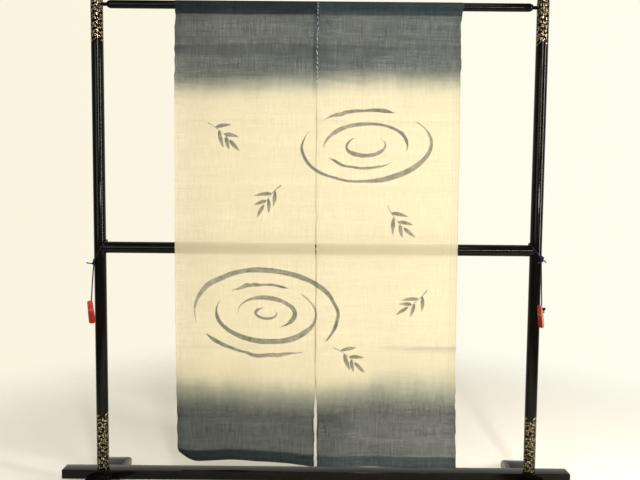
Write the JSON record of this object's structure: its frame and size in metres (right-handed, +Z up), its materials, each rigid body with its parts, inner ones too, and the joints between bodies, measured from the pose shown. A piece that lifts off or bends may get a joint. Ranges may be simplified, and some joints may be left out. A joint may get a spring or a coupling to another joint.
{
  "type": "noren curtain on a standing rack",
  "caption": "Split hanging curtain of sheer dyed cloth, threaded on the rail of a free-standing lacquered rack with round posts, a middle rail and broad feet.",
  "frame": {"origin": "floor level, at the middle of the base", "axes": "+Z up, +X to the right seen from the front, +Y away from the viewer"},
  "size_m": [1.75, 0.36, 1.67],
  "materials": {
    "dyed_hemp": "sheer plain weave, slate blue at both ends fading to undyed beige",
    "black_lacquer": "gloss black lacquer with gold sprinkled ends on the posts",
    "red_lacquer": "worn red lacquer on one face, bare wood on the edge",
    "navy_cord": "twisted navy cord"
  },
  "bodies": {
    "root": {"noren_left": "dyed_hemp", "noren_right": "dyed_hemp", "top_rail": "black_lacquer", "mid_rail": "black_lacquer", "cap_rail": "black_lacquer", "base_beam": "black_lacquer", "post_left": "black_lacquer", "post_right": "black_lacquer", "foot_left": "black_lacquer", "foot_right": "black_lacquer", "wedge_left": "red_lacquer", "wedge_right": "red_lacquer", "cord_left": "navy_cord", "cord_right": "navy_cord"}
  },
  "joints": []
}
